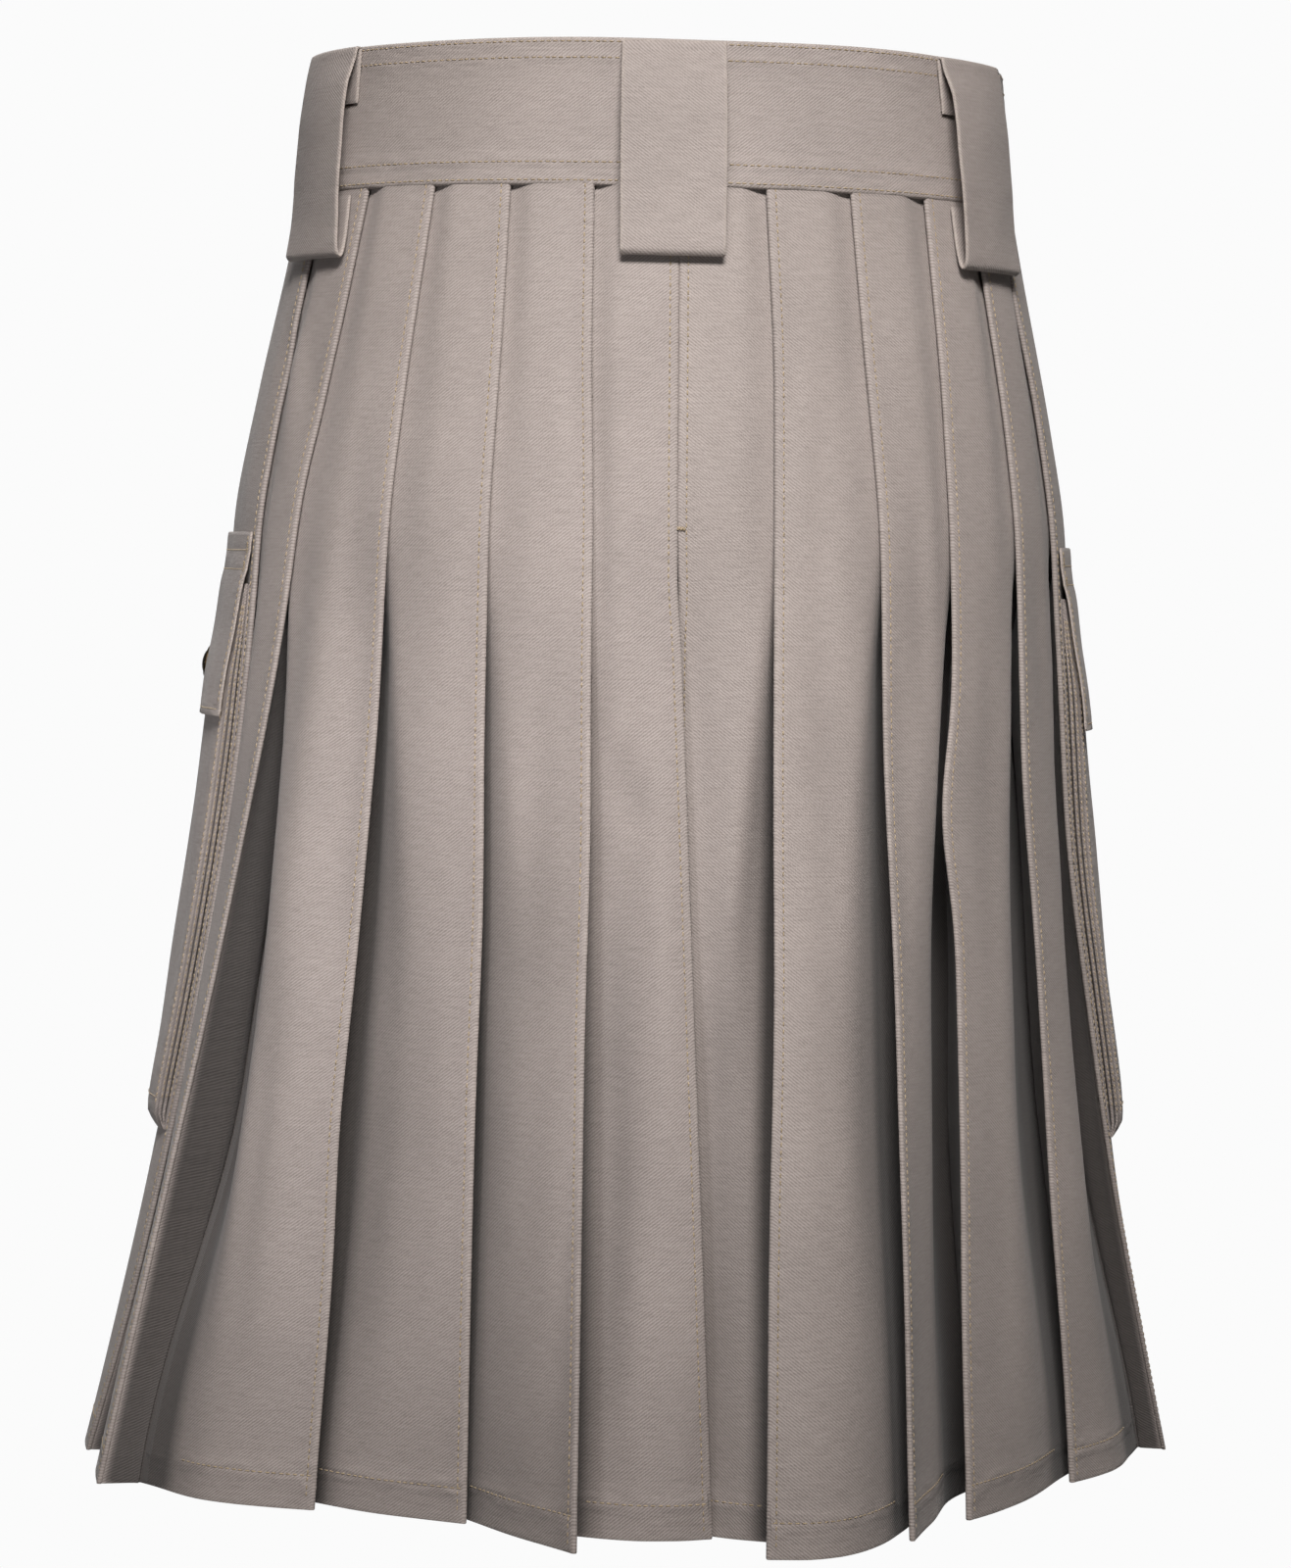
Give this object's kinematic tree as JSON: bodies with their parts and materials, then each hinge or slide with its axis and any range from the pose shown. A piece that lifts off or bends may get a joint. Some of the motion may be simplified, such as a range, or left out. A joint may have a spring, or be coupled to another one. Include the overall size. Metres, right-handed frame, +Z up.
{
  "type": "utility kilt",
  "caption": "Knee-length cotton twill kilt with knife pleats meeting at the centre back, a plain overlapping front, hanging belt loops and gusseted side pockets.",
  "frame": {"origin": "centre of the waist opening, at half the height of the waistband", "axes": "+Z up along the body, the wearer faces -Y, the wearer's left is +X and the pleated back is +Y"},
  "size_m": [0.4796, 0.3942, 0.603],
  "materials": {
    "cotton_twill": "taupe cotton twill, matt, tan topstitching",
    "antique_brass": "antique brass, dark and lightly polished"
  },
  "bodies": {
    "root": {"waistband": "cotton_twill", "pleats_left": "cotton_twill", "pleats_right": "cotton_twill", "over_apron": "cotton_twill", "under_apron": "cotton_twill", "belt_loop_center": "cotton_twill", "belt_loop_left": "cotton_twill", "belt_loop_right": "cotton_twill", "pouch_left": "cotton_twill", "pouch_right": "cotton_twill", "flap_left": "cotton_twill", "flap_right": "cotton_twill", "snap_pocket_left": "antique_brass", "snap_pocket_right": "antique_brass", "snap_waist_1": "antique_brass", "snap_waist_2": "antique_brass"}
  },
  "joints": []
}
